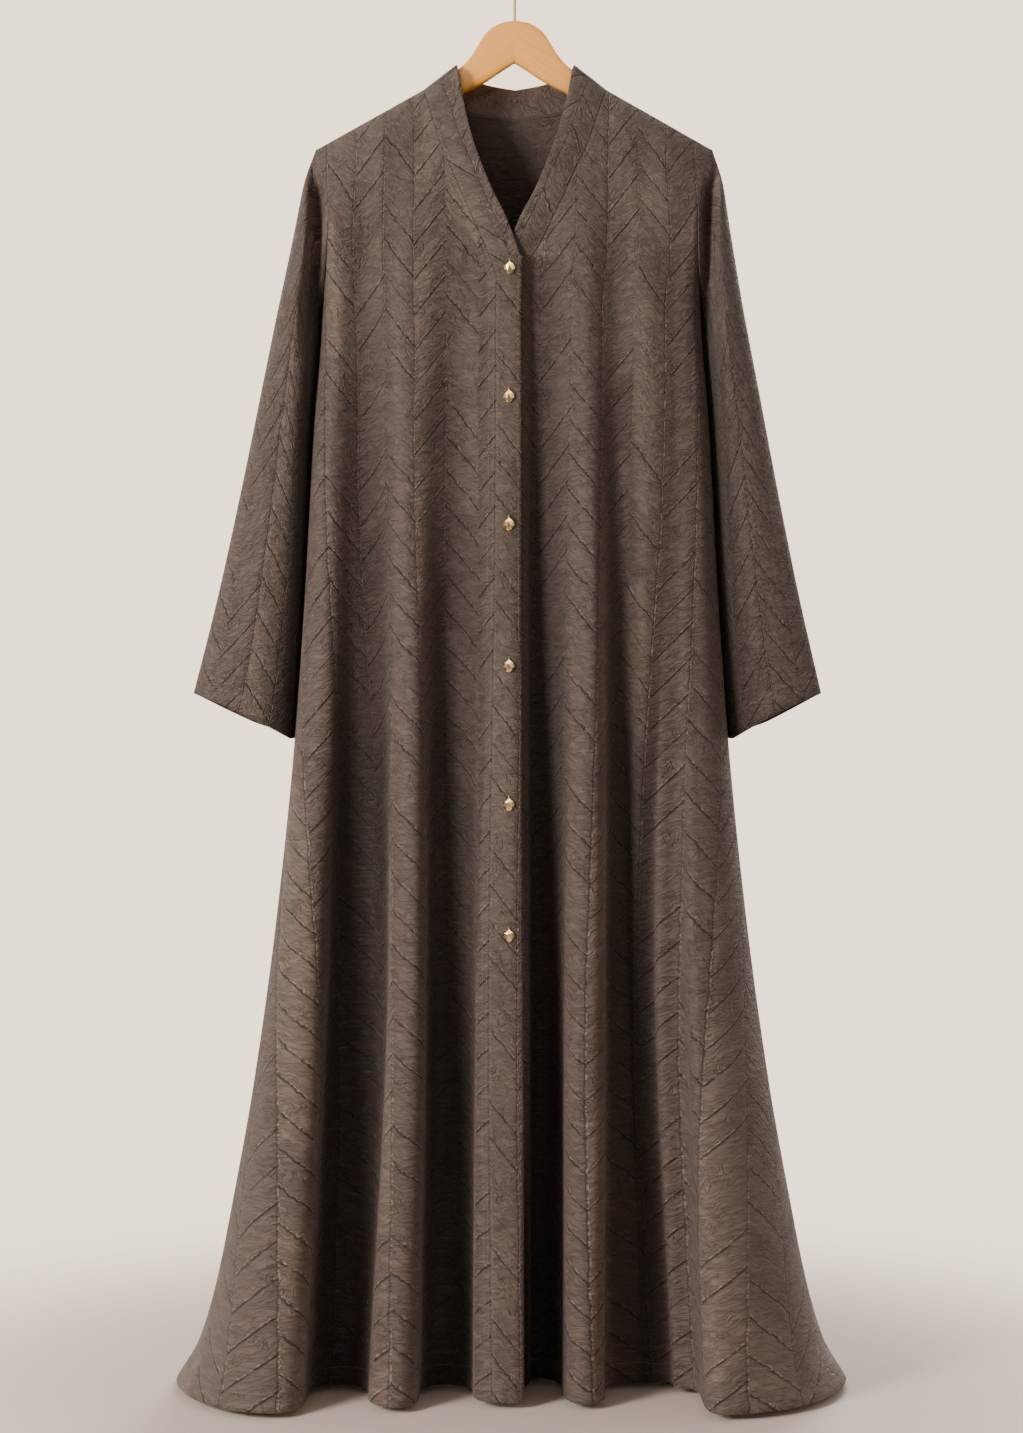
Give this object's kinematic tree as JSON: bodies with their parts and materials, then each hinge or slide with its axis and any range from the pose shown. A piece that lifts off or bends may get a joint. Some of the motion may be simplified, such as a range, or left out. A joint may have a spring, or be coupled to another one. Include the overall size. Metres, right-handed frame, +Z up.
{
  "type": "open-front abaya on a wooden hanger",
  "caption": "Long flared front-buttoned robe with a V-shaped stand collar and wide-cuffed long sleeves, hung on a plain wooden hanger with a wire hook.",
  "frame": {"origin": "inside of the hook's bend, where a rail carries the hanger", "axes": "+Z up; the buttoned front faces -Y; +X towards the viewer's right, the garment's left side"},
  "size_m": [0.7408, 0.3159, 1.5868],
  "materials": {
    "jacquard_cloth": "woven, matt with a faint sheen",
    "jacquard_band": "woven, matt with a faint sheen",
    "pale_wood": "satin varnish",
    "brass": "polished",
    "champagne_gold": "polished"
  },
  "bodies": {
    "root": {"front_right": "jacquard_cloth", "front_left": "jacquard_cloth", "back": "jacquard_cloth", "sleeve_right": "jacquard_cloth", "sleeve_left": "jacquard_cloth", "collar": "jacquard_band", "placket": "jacquard_band", "button_band": "jacquard_band", "hanger_arm_right": "pale_wood", "hanger_arm_left": "pale_wood", "hanger_hook": "brass", "button_1": "champagne_gold", "button_2": "champagne_gold", "button_3": "champagne_gold", "button_4": "champagne_gold", "button_5": "champagne_gold", "button_6": "champagne_gold"}
  },
  "joints": []
}
